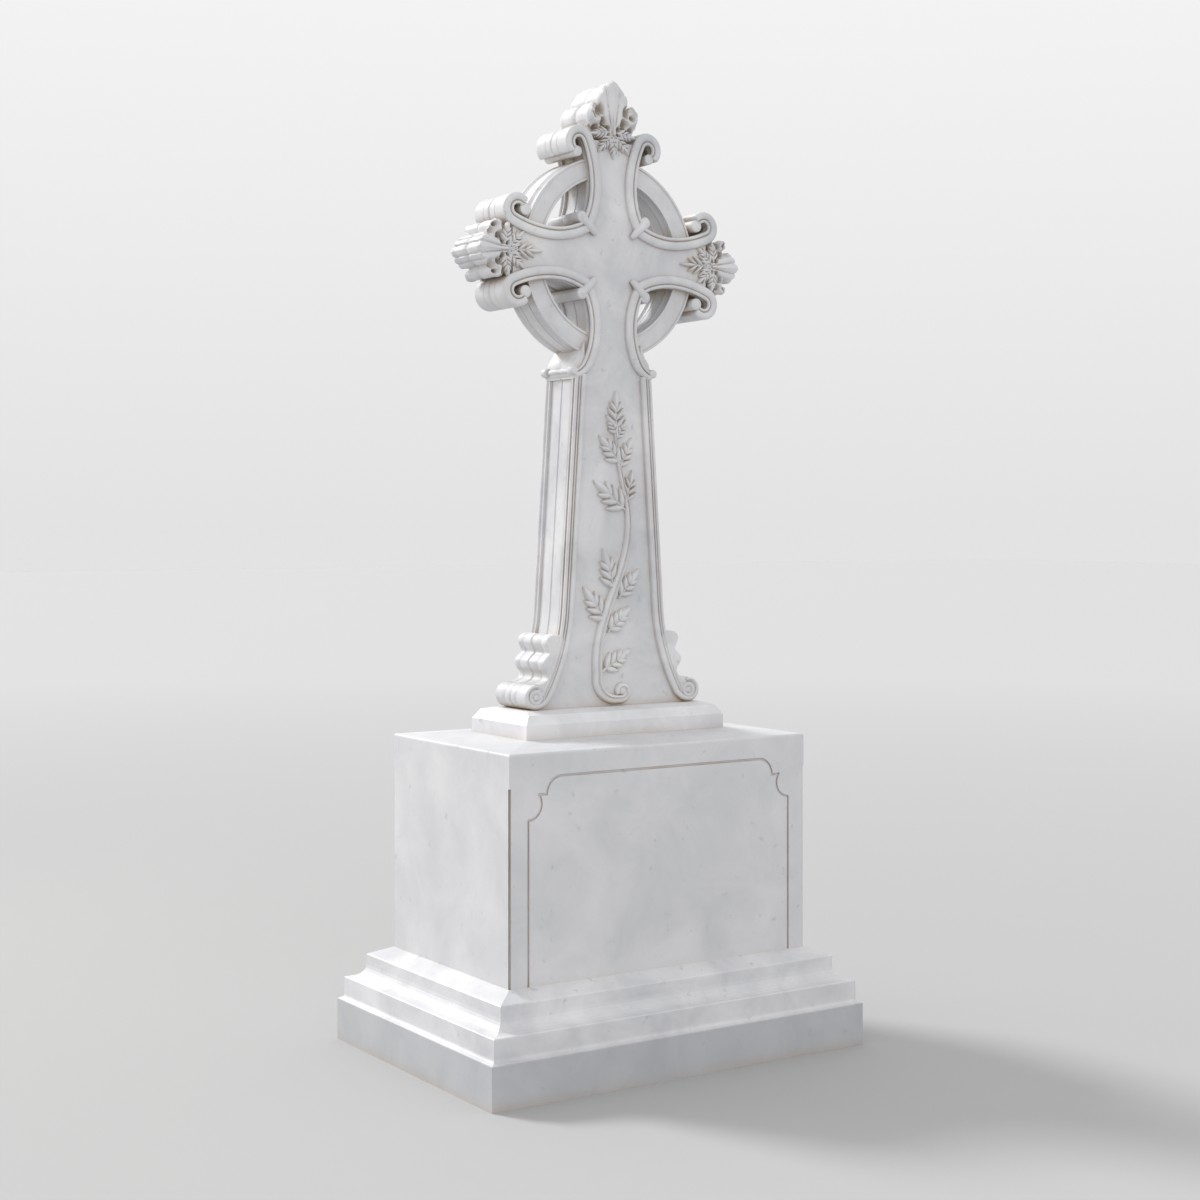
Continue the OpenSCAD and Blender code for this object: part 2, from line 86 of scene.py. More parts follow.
class Solid:
    """Gathers closed shells, in mm, and makes one object of them."""

    def __init__(self):
        self.verts, self.faces, self.count = [], [], 0

    def add(self, verts, faces):
        self.verts.append(np.asarray(verts, float).reshape(-1, 3))
        self.faces += [[i + self.count for i in f] for f in faces]
        self.count += len(self.verts[-1])

    def tube(self, rings):
        """Closed rings of points, one after another, with both ends filled in."""
        rings = np.asarray(rings, float)
        n, m = rings.shape[:2]
        faces = []
        for i in range(n - 1):
            for j in range(m):
                k = (j + 1) % m
                faces.append((i * m + j, i * m + k, (i + 1) * m + k, (i + 1) * m + j))
        faces.append(tuple(range(m)))
        faces.append(tuple((n - 1) * m + j for j in range(m)))
        self.add(rings, faces)

    def torus(self, rings):
        """Closed rings of points that run round to the first one again."""
        rings = np.asarray(rings, float)
        n, m = rings.shape[:2]
        faces = []
        for i in range(n):
            i2 = (i + 1) % n
            for j in range(m):
                k = (j + 1) % m
                faces.append((i * m + j, i * m + k, i2 * m + k, i2 * m + j))
        self.add(rings, faces)

    def prism(self, outline, y0, y1):
        """A flat outline of [x, z] points between two depths."""
        n = len(outline)
        verts = [(x, y0, z) for x, z in outline] + [(x, y1, z) for x, z in outline]
        faces = [tuple(range(n)), tuple(range(n, 2 * n))]
        faces += [(i, (i + 1) % n, n + (i + 1) % n, n + i) for i in range(n)]
        self.add(verts, faces)

    def make(self, name, sharp=38):
        mesh = bpy.data.meshes.new(name)
        mesh.from_pydata((np.vstack(self.verts) * 0.001).tolist(), [], self.faces)
        bm = bmesh.new()
        bm.from_mesh(mesh)
        bmesh.ops.triangulate(bm, faces=[f for f in bm.faces if len(f.verts) > 4])
        bmesh.ops.recalc_face_normals(bm, faces=bm.faces)
        for f in bm.faces:
            f.smooth = True
        bm.to_mesh(mesh)
        bm.free()
        mesh.set_sharp_from_angle(angle=math.radians(sharp))
        obj = bpy.data.objects.new(name, mesh)
        bpy.context.scene.collection.objects.link(obj)
        return obj


def disc_rings(x, z, profile, steps=28):
    """Rings round an axis that runs through the depth, from (radius, y) points."""
    a = np.linspace(0, 2 * math.pi, steps, endpoint=False)
    return [np.stack([x + r * np.cos(a), np.full(steps, y), z + r * np.sin(a)], 1) for r, y in profile]


def roll_profile(r, depth, dome, groove=1.5):
    """A roll through the depth with domed ends and a fine groove half way."""
    front = [(max(r * math.cos(t), 0.4), -depth + dome - dome * math.sin(t))
             for t in np.linspace(math.pi / 2, 0, 6)]
    half = front + [(r, -4), (r - groove, -1.2)]
    return half + [(q, -y) for q, y in reversed(half)]


# ---------------------------------------------------------------- edge moulding


def bump(e0, e1, base, crown, n):
    """A round roll of the moulding's section between the distances e0 and e1."""
    t = np.linspace(0, math.pi, n)
    middle, reach = (e0 + e1) / 2, (e0 - e1) / 2
    return [(middle + reach * math.cos(a), base + (crown - base) * math.sin(a) ** 0.8) for a in t]


def moulding_section():
    """The whole section as [distance from the outer edge, y], front to back."""
    side = [(4.5, 70.5), (7.0, 69.5), (7.0, 67.0)]
    side += [(0.3 + 1.7 * math.cos(a) ** 2, 62 + 4.5 * math.sin(a)) for a in np.linspace(1.5, -1.5, 6)]
    side += [(8.0, 56.0), (7.2, 53.0), (6.6, 30.0), (6.6, 4.0), (8.6, 2.2), (8.8, 0.8)]
    half = [(BAND - 3.4, 0.8), (BAND - 3.0, 2.6), (BAND - 0.6, 5.0), (BAND, 9.0), (BAND, 30.0)]
    half += [(BAND - 1.4, 31.5), (BAND, 33.0), (BAND, 56.0), (BAND, 77.0)]
    half += bump(BAND, 19.5, 78.0, DEPTH, 11)
    half += [(19.0, 76.5), (18.2, 76.5)]
    half += bump(17.6, 12.2, 79.0, 83.5, 6)
    half += [(11.8, 77.0), (11.0, 77.0)]
    half += [(5.4 + 5.2 * math.cos(a), 77.5 + 6.5 * math.sin(a)) for a in np.linspace(0, 3.4, 9)]
    half += side
    points = [(e, -y) for e, y in half] + [(e, y) for e, y in reversed(half)]
    return np.array(points)


def hook_section():
    """The section on the hooks, with one broad roll in place of the roll and thin bead."""
    section = moulding_section()
    side, y = section[:, 0], np.abs(section[:, 1])
    span = (side >= 12.0) & (side < BAND - 0.01) & (y >= 76)
    crown = 77 + (DEPTH - 77) * np.sqrt(np.clip(1 - ((side - 24.5) / 12.6) ** 2, 0, 1))
    return np.stack([side, np.where(span, np.sign(section[:, 1]) * crown, section[:, 1])], 1)


SECTION = moulding_section()
HOOK_SECTION = hook_section()


def arc_rings(arcs, step=5.0, head=None, section=SECTION):
    """Rings of the moulding along arcs of (centre, radius at the inner edge, first and
    last angle, first and last share of the full width), in local [x, s] points."""
    rings = [] if head is None else list(head)
    for k, (c, radius, a0, a1, f0, f1) in enumerate(arcs):
        n = max(3, math.ceil(abs(math.radians(a1 - a0)) * radius / step))
        for i in range(0 if k == 0 and head is None else 1, n + 1):
            a = a0 + (a1 - a0) * i / n
            f = f0 + (f1 - f0) * smooth(i / n)
            r = np.maximum(radius - (BAND - section[:, 0]) * f, 0.6)
            rings.append(np.stack([c[0] + r * turn(a)[0], section[:, 1], c[1] + r * turn(a)[1]], 1))
    return rings


def rounded_end(rings, reach):
    """Closes the last ring with a few more that draw in to a rounded end."""
    last, before = rings[-1], rings[-2]
    way = (last - before).mean(0)
    way = way / np.linalg.norm(way)
    middle = last.mean(0)
    for t in (25, 48, 68, 82):
        c, s = turn(t)
        ring = last.copy()
        for axis in (0, 2):
            ring[:, axis] = middle[axis] + (last[:, axis] - middle[axis]) * c
        ring[:, 1] = last[:, 1] * (1 - 0.05 * (1 - c))
        rings.append(ring + way * reach * s)
    return rings


def hook_centre(half):
    start = np.array([half - BAND / 2 + OUTER_SWEEP, WAIST])
    return start + (OUTER_SWEEP - HOOK_RADIUS + BAND / 2) * turn(180 - HOOK_START)


def hooked_arcs(half):
    middle = half - BAND / 2
    way = 180 - HOOK_START
    return [
        ((middle + INNER_SWEEP, WAIST), INNER_SWEEP + BAND / 2, 180 + CROSSING_ANGLE, 180, 1, 1),
        ((middle + OUTER_SWEEP, WAIST), OUTER_SWEEP + BAND / 2, 180, way, 1, 1),
        (hook_centre(half), HOOK_RADIUS, way, way - HOOK_TURN, 1, 0.86),
    ]


def shoulder_arcs():
    near = np.array([UPRIGHT_HALF - BAND / 2 + INNER_SWEEP, WAIST])
    bend = near + (INNER_SWEEP + BAND / 2 - 95) * turn(158)
    return [
        (near, INNER_SWEEP + BAND / 2, 180 + CROSSING_ANGLE, 158, 1, 1),
        (bend, 95.0, 158, 106, 1, 0.7),
    ]


def foot_arcs():
    start = FOOT - BAND * turn(LEAN)
    centre = start + FOOT_SWEEP * turn(LEAN)
    end = centre - FOOT_SWEEP * turn(FOOT_TURN)
    toe = (end[1] - SLAB_TOP - 1) / (1 - turn(FOOT_TURN)[1])
    toe_centre = end + toe * turn(FOOT_TURN)
    curl = np.array([toe_centre[0], SLAB_TOP + 1 + 35])
    return [
        (centre, FOOT_SWEEP, 180 + LEAN, 180 + FOOT_TURN, 1, 1),
        (toe_centre, toe, 180 + FOOT_TURN, 270, 1, 0.94),
        (curl, 35.0, 270, 470, 0.94, 0.42),
    ]


def flip(rings, x=1, z=1, swap=False, at=CENTRE):
    """Local rings, mirrored and turned to their place at the crossing."""
    out = []
    for ring in rings:
        q = ring.copy()
        if swap:
            q[:, [0, 2]] = q[:, [2, 0]]
        q[:, 0] *= x
        q[:, 2] = q[:, 2] * z + at
        out.append(q)
    return out


def line_points(arcs, e, count=14):
    """The line at the distance e from the outer edge, as local [x, s] points."""
    points = []
    for k, (c, radius, a0, a1, _, _) in enumerate(arcs):
        for i in range(0 if k == 0 else 1, count + 1):
            points.append(np.array(c) + (radius - BAND + e) * turn(a0 + (a1 - a0) * i / count))
    return points


# ---------------------------------------------------------------- the cross


def core_outline():
    """Outline of the plain slab of the cross, behind the middle of its mouldings."""
    e = 17.0
    upright = [p for p in line_points(hooked_arcs(UPRIGHT_HALF)[:2], e)]
    arm = [p for p in line_points(hooked_arcs(ARM_HALF)[:2], e)]
    neck = line_points(shoulder_arcs(), e)
    foot = line_points(foot_arcs()[:2], e)
    right = [(p[0], CENTRE + p[1]) for p in reversed(upright)]
    right += [(p[1], CENTRE + p[0]) for p in arm]
    right += [(p[1], CENTRE - p[0]) for p in reversed(arm)]
    right += [(p[0], CENTRE - p[1]) for p in neck[:24]]
    right += [(SHOULDER[0] - e, SHOULDER[1] - 4)]
    right += [(p[0], p[1]) for p in foot]
    right += [(foot[-1][0], SLAB_TOP)]
    return right + [(-x, z) for x, z in reversed(right)]


def add_mouldings(head, shaft):
    upright = rounded_end(arc_rings(hooked_arcs(UPRIGHT_HALF), section=HOOK_SECTION), 7)
    arm = rounded_end(arc_rings(hooked_arcs(ARM_HALF), section=HOOK_SECTION), 7)
    neck = rounded_end(arc_rings(shoulder_arcs(), section=HOOK_SECTION), 9)
    across = turn(LEAN)
    straight = []
    for t in np.linspace(0, 1, 22)[:-1]:
        p = SHOULDER + (FOOT - SHOULDER) * t
        x = p[0] - SECTION[:, 0] * across[0]
        z = p[1] - SECTION[:, 0] * across[1]
        straight.append(np.stack([x, SECTION[:, 1], z], 1))
    side = arc_rings(foot_arcs(), 5.0, straight)
    for x in (1, -1):
        head.tube(flip(upright, x, 1))
        head.tube(flip(neck, x, -1))
        for z in (1, -1):
            head.tube(flip(arm, x, z, True))
        shaft.tube(flip(side, x, 1, False, 0))


def add_rolls(head):
    """Eyes of the hooks, corner rolls with their straps, and shoulder knobs."""
    for x in (1, -1):
        eye = hook_centre(UPRIGHT_HALF) + 28 * turn(-76)
        head.tube(disc_rings(x * eye[0], CENTRE + eye[1], roll_profile(15, 82, 4)))
        for z in (1, -1):
            eye = hook_centre(ARM_HALF) + 27 * turn(-82)
            head.tube(disc_rings(x * eye[1], CENTRE + z * eye[0], roll_profile(18, 82, 5)))
            head.tube(disc_rings(x * CORNER, CENTRE + z * CORNER, roll_profile(17, 86, 6)))
            for y in (1, -1):
                add_strap(head, x, z, y)
        head.tube(disc_rings(x * 133, 1948, roll_profile(8, 78, 3)))
        for y in (1, -1):
            knob = [(0.5, 58), (11, 58), (13, 61), (13, 80), (11, 84), (6, 86), (1, 86.4)]
            head.tube(disc_rings(x * 137, 1948, [(r, y * q) for r, q in knob]))
        slope = [(96, 2030), (112, 1998), (128, 1975), (134, 1955), (131, 1925), (90, 1925)]
        steps = [(3, -74), (0, -71), (0, -5), (2, -2), (2, 2), (0, 5), (0, 71), (3, 74)]
        head.tube(rounded_prism([(x * a, b) for a, b in slope], steps))


def add_strap(head, x, z, y):
    """The strap that ties an inner corner: a finger laid over the crossing mouldings."""
    rings = []
    for t, r in zip(np.linspace(0, 1, 15), 13.0 * np.sin(np.linspace(0.12, 2.2, 15)) ** 0.35):
        d = 62 + 50 * t
        a = np.linspace(0, 2 * math.pi, 14, endpoint=False)
        lift = 77 + 5.5 * math.sin(math.pi * min(t * 1.25, 1)) ** 0.5
        side = r * np.cos(a)
        across = x * (d + side * 0.707)
        up = CENTRE + z * (d - side * 0.707)
        rings.append(np.stack([across, y * (lift + r * 0.85 * np.sin(a)), up], 1))
    head.tube(rings)


def ring_section():
    """Section of the ring as [radius, y]: sunk faces between fillets, and coved edges."""
    inner, outer, face = RING_INNER, RING_OUTER, RING_FACE
    half = [(inner, -22.5), (inner + 2.5, -23.2), (inner + 2.5, -25), (inner, -25.8)]
    half += [(inner + 6.5 * math.sin(math.pi * t) ** 0.8, -27 - 29 * t) for t in np.linspace(0.02, 0.98, 9)]
    half += [(inner, -57), (inner, -61.8), (inner + 1.2, -face)]
    half += [(inner + 6, -face), (inner + 7, -61.8), (inner + 7.2, -59.2)]
    half += [(outer - 7.2, -59.2), (outer - 7, -61.8), (outer - 6, -face)]
    half += [(outer - 1.2, -face), (outer, -61.8), (outer, -57)]
    half += [(outer - 7 * math.sin(math.pi * t) ** 0.8, -56 + 29 * t) for t in np.linspace(0.02, 0.98, 9)]
    half += [(outer, -25.8), (outer - 3, -25), (outer - 3, -23.2), (outer, -22.5)]
    return np.array(half + [(r, -y) for r, y in reversed(half)])


def add_ring(solid):
    section = ring_section()
    rings = []
    for a in np.linspace(0, 360, 180, endpoint=False):
        c, s = turn(a)
        rings.append(np.stack([section[:, 0] * c, section[:, 1], CENTRE + section[:, 0] * s], 1))
    solid.torus(rings)


# ---------------------------------------------------------------- carved leaves


# Outlines of the crests as [angle from straight out, radius]
CROWN_RIM = [
    (0, 148), (6, 139), (9, 131), (11, 134), (17, 123), (20, 114), (22, 117), (28, 107), (33, 92), (36, 84),
    (40, 105), (51, 103), (63, 96), (77, 84), (90, 76), (105, 60), (125, 46), (150, 40), (180, 40),
]
ARM_RIM = [
    (0, 85), (7, 82), (12, 76), (15, 80), (24, 77), (29, 70), (33, 74), (41, 71), (46, 64), (50, 62),
    (56, 77), (64, 85), (72, 86), (82, 80), (95, 68), (110, 56), (130, 46), (150, 40), (180, 40),
]


def crest_outline(angle, reach):
    """Radius of a crest about its root at an angle from straight out, in degrees."""
    rim = CROWN_RIM if reach == CROWN_REACH else ARM_RIM
    return np.interp(np.abs(angle), [a for a, _ in rim], [r for _, r in rim])


def crest_height(x, s, reach, root):
    """Carved height of a crest's front over local points, from the middle plane."""
    r = np.hypot(x, s - root + 34)
    phi = np.degrees(np.arctan2(x, s - root + 34))
    h = np.where(s < root - 20, 62.0, 60.0)
    top = reach - root
    # the middle leaf: a broad rib between flutes that fan out to the margin
    flute = np.abs(np.cos(np.radians(phi * 180 / 19))) ** 0.5 * 2 - 1
    share = np.clip(r / (top + 34), 0, 1)
    fan = 76 + 4.2 * flute * smooth(share * 2.6) - 9.0 * (np.abs(phi) / 34) ** 2 + 4.0 * share
    rib = 86 - 2 * share - 10 * (np.abs(x) / (3.5 + 5 * share)) ** 3
    middle = np.maximum(fan, rib)
    h = np.where((np.abs(phi) < 31 + 3 * share) & (s > root - 16), np.maximum(h, middle), h)
    # the side leaves: hoods curled forward over deep hollows
    k = 0.42 + 0.58 * (top - 85) / 63
    for side in (-1, 1):
        dx, ds = x - side * 60, s - (root + 20 + 34 * k)
        hood = np.sqrt((dx / 30) ** 2 + (ds / (22 + 24 * k)) ** 2)
        folds = 2.6 * np.cos(np.arctan2(ds, dx * side) * 7) * hood
        ridge = 70 + 16.5 * np.exp(-(((hood - 0.66) / 0.25) ** 2)) + folds
        h = np.where((hood < 1.15) & (np.abs(phi) > 24), np.maximum(h, ridge), h)
    # drilled hollows
    pits = [(45, 54, 10, 16), (38, 24, 8, 10), (18, 4, 6, 7), (60, 6, 7, 6), (66, 40, 5, 7)]
    for px, ps, rx, rs in pits:
        for side in (-1, 1):
            along = (s - root - ps * (0.5 + 0.5 * k)) / (rs * (0.6 + 0.4 * k))
            d = ((x - side * px) / rx) ** 2 + along ** 2
            h = h - 30 * np.exp(-(d ** 1.6))
    return np.clip(h, 38, 86.8)


def crest_shell(reach, root=CREST_ROOT):
    """One crest as a closed shell of local points: a carved front, fluted flanks
    through the depth, and a carved back."""
    angles = np.linspace(-180, 180, 264, endpoint=False)
    shares = np.linspace(0.012, 1, 62) ** 0.9
    rim = crest_outline(angles, reach)
    px = np.sin(np.radians(angles))
    ps = np.cos(np.radians(angles))
    rings = []
    centre = root - 2.0
    for q in shares:
        x = rim * q * px
        s = centre + rim * q * ps
        h = crest_height(x, s, reach, root)
        edge = smooth((1 - q) / 0.05)
        h = np.minimum(h, 70 + (h - 70) * edge) if q > 0.94 else h
        rings.append(np.stack([x, -h, s], 1))
    last = rings[-1]
    for share, inset in [(0.93, 1.5), (0.8, 3), (0.55, 1), (0.3, 0.5), (0.12, 2.5), (0.06, 5), (0.02, 6.5)]:
        scale = (rim - inset - 2.0 * (1 - share) * (np.cos(np.radians(angles) * 9) > 0.3)) / rim
        ring = last.copy()
        ring[:, 0] = rim * scale * px
        ring[:, 2] = centre + rim * scale * ps
        ring[:, 1] = last[:, 1] * share
        rings.append(ring)
    back = [ring * np.array([1, -1, 1]) for ring in reversed(rings)]
    return rings + back


def turned_crest(rings, end):
    """Turns local rings to the top (0) or to the end of an arm (1 or -1)."""
    out = []
    for ring in rings:
        x, y, s = ring[:, 0], ring[:, 1], ring[:, 2]
        if end == 0:
            out.append(np.stack([x, y, CENTRE + s], 1))
        else:
            out.append(np.stack([end * s, y, CENTRE - end * x], 1))
    return out


# ---------------------------------------------------------------- the vine


def wave_x(h):
    """Sideways place of the vine's stem at a height above the slab."""
    if h < 615:
        return -55 * math.cos(math.pi * (h - 125) / 400)
    start = -55 * math.cos(math.pi * (614.99 - 125) / 400)
    return 8 + (start - 8) * max(1 - (h - 615) / 185, 0) ** 1.6


def vine_path():
    curl = []
    for t in np.linspace(1, 0, 26):
        curl.append(np.array([28, 40]) + (8 + 14 * (1 - t)) * turn(560 - 290 * (1 - t)))
    bend = [np.array([8, 81]) + 63 * turn(a) for a in np.linspace(270, 180, 18)[1:]]
    wave = [np.array([wave_x(h), h]) for h in np.arange(88, 806, 6.0)]
    return curl + bend + wave[1:]


def add_stem(solid):
    path = np.array(vine_path())
    path[:, 1] += SLAB_TOP
    tangent = np.gradient(path, axis=0)
    tangent /= np.linalg.norm(tangent, axis=1)[:, None]
    length = np.concatenate([[0], np.cumsum(np.linalg.norm(np.diff(path, axis=0), axis=1))])
    share = length / length[-1]
    width = np.interp(share, [0, 0.06, 0.2, 0.45, 0.75, 0.92, 1], [26, 25, 34, 31, 22, 13, 8])
    lift = np.interp(share, [0, 0.2, 0.7, 1], [15, 15, 13, 9])
    a = np.linspace(0, math.pi, 15)
    rings = []
    for p, t, w, h in zip(path, tangent, width, lift):
        normal = np.array([-t[1], t[0]])
        across = np.cos(a) * w / 2
        strands = np.sin(a) ** 0.6 * (1 - 0.42 * np.exp(-(((np.cos(a) + 0.12) / 0.2) ** 2)))
        up = FACE - 4 + (h + 4) * strands
        x = p[0] + normal[0] * across
        z = p[1] + normal[1] * across
        ring = np.stack([x, -up, z], 1)
        rings.append(ring)
    solid.tube(rings)


def add_lobe(solid, root, angle, length, width, lift):
    """One pointed finger of a leaf: a keeled dome that grows from its root."""
    c, s = turn(angle)
    rings = []
    for t in np.linspace(0.02, 1, 15):
        half = width * math.sin(math.pi * min(t, 0.985) ** 0.72) ** 0.7
        rise = lift * (0.45 + 0.55 * math.sin(math.pi * min(t * 0.9 + 0.1, 1)))
        v = np.linspace(-1, 1, 11)
        dome = (1 - np.abs(v) ** 2.1) * rise - 1.0 * np.exp(-((v / 0.2) ** 2)) * math.sin(math.pi * t)
        along, across = length * t, v * half
        x = root[0] + along * c - across * s
        z = root[1] + along * s + across * c
        rings.append(np.stack([x, -(FACE - 3 + (dome + 3) * (1 - np.abs(v) ** 8)), z], 1))
    solid.tube(rings)


def add_leaf(solid, root, angle, length, width, lift=17.0, pairs=3):
    """A lobed leaf: fingers that overlap on a full body, over a short stalk."""
    way = turn(angle)
    root = np.array(root, float)
    add_lobe(solid, root - way * 0.06 * length, angle, length * 0.5, 5.5, lift * 0.62)
    add_lobe(solid, root + way * 0.08 * length, angle, length * 0.84, width * 0.40, lift * 0.50)
    for k in range(pairs):
        at = root + way * length * (0.08 + 0.19 * k)
        reach = length * (0.43 - 0.05 * k)
        for side in (1, -1):
            spread = angle + side * (42 - 5 * k)
            add_lobe(solid, at, spread, reach, width * 0.42, lift * (0.86 + 0.05 * k))
    add_lobe(solid, root + way * length * 0.5, angle, length * 0.5, width * 0.52, lift)


def add_vine(solid):
    add_stem(solid)
    leaves = [
        ((-34, 1090), 30, 112, 24), ((-22, 1226), 128, 132, 25), ((-16, 1200), 43, 104, 25),
        ((4, 1318), 108, 128, 23), ((22, 1298), 50, 106, 22), ((42, 1550), 142, 140, 25),
        ((44, 1570), 77, 100, 12), ((22, 1684), 131, 108, 21), ((22, 1672), 64, 98, 18),
        ((9, 1768), 118, 62, 14), ((10, 1756), 58, 66, 14), ((8, 1778), 90, 116, 17),
    ]
    add_lobe(solid, (-60, 1073), 30, 62, 6, 11)
    for root, angle, length, width in leaves:
        add_leaf(solid, root, angle, length, 1.2 * width)
    bulb = [(r, -FACE - h) for r, h in [(13, -3), (13, 4), (12, 8), (9.5, 11), (6, 12.6), (2, 13)]]
    solid.tube(disc_rings(30, SLAB_TOP + 43, bulb, 24))


def add_spray(solid, end, face):
    """The spray of small lobed leaves that turns back over the plain face at one end."""
    spray = Solid()
    drop = 66 if end == 0 else 112
    leaves = [
        ((0, 350), -90, drop, 15), ((8, 352), -48, 70, 14), ((-8, 352), -132, 70, 14),
        ((16, 362), -10, 64, 14), ((-16, 362), -170, 64, 14),
        ((0, 356), -72, 48, 10), ((0, 356), -108, 48, 10),
    ]
    for k, (root, angle, length, width) in enumerate(leaves):
        add_leaf(spray, root, angle, length, width, 15.5 - (k > 0) - (k > 2))
    for verts in spray.verts:
        x, y, s = verts[:, 0], verts[:, 1] * face, verts[:, 2]
        if end == 0:
            verts[:] = np.stack([x, y, CENTRE + s], 1)
        else:
            verts[:] = np.stack([end * s, y, CENTRE - end * x], 1)
    solid.add(np.vstack(spray.verts), spray.faces)


# ---------------------------------------------------------------- foot scrolls


def rounded_prism(outline, steps):
    """Rings of a closed outline of [x, z] points, drawn in by each step's inset at its y."""
    p = np.array(outline, float)
    d = np.roll(p, -1, 0) - np.roll(p, 1, 0)
    n = np.stack([d[:, 1], -d[:, 0]], 1) / np.linalg.norm(d, axis=1)[:, None]
    area = 0.5 * np.sum(p[:, 0] * np.roll(p[:, 1], -1) - np.roll(p[:, 0], -1) * p[:, 1])
    n *= np.sign(area)
    rings = []
    for inset, y in steps:
        q = p - n * inset
        rings.append(np.stack([q[:, 0], np.full(len(p), y), q[:, 1]], 1))
    return rings


def wavy(points, each=7):
    """A smooth chain through the points."""
    p = np.array(points, float)
    p = np.vstack([2 * p[0] - p[1], p, 2 * p[-1] - p[-2]])
    out = []
    for i in range(1, len(p) - 2):
        for t in np.linspace(0, 1, each, endpoint=False):
            a, b, c, d = p[i - 1:i + 3]
            square = 2 * a - 5 * b + 4 * c - d
            cube = 3 * b - a - 3 * c + d
            out.append(0.5 * (2 * b + (c - a) * t + square * t ** 2 + cube * t ** 3))
    return out + [p[-2]]


def add_foot_scrolls(solid):
    """The webs behind the foot scrolls, which roll over twice between the band and the
    air, and the rolls of their toes."""
    free = wavy([(176, 1194), (205, 1196), (224, 1189), (230, 1173), (223, 1156), (219, 1143), (231, 1131),
                 (241, 1118), (237, 1100), (226, 1086), (228, 1070), (246, 1060), (266, 1058)])
    band = [q for q in line_points(foot_arcs()[:2], 24) if 1012 < q[1] < 1192]
    outline = free + [np.array([266, 1012])] + band[::-1]
    half = [(7, -81), (2.2, -79.5), (0, -75), (0, -50), (1.2, -48), (0, -46), (0, -6), (2.8, -3), (3.6, 0)]
    steps = half + [(inset, -y) for inset, y in reversed(half[:-1])]
    front = [(0.6, -84.5), (5, -84), (8, -82), (9.5, -80), (11, -82), (15, -84.5), (20, -84.5), (23, -82),
             (24.5, -80), (26, -82), (29, -83), (32, -80), (34, -74), (34.5, -60), (34.5, -5), (32, -2)]
    for x in (1, -1):
        solid.tube(rounded_prism([(x * a, b) for a, b in outline], steps))
        solid.tube(disc_rings(x * 264.7, 1021, front + [(r, -y) for r, y in reversed(front)], 44))


# ---------------------------------------------------------------- marble


# Painted shade: the warm brown laid into the colour of recesses, with its reach and strength
RECESS_SHADE = (0.45, 0.35, 0.24)
RECESS_SHADE_DEPTH = 0.055  # reach of the recesses that get painted shade, in m
RECESS_SHADE_AMOUNT = 0.85


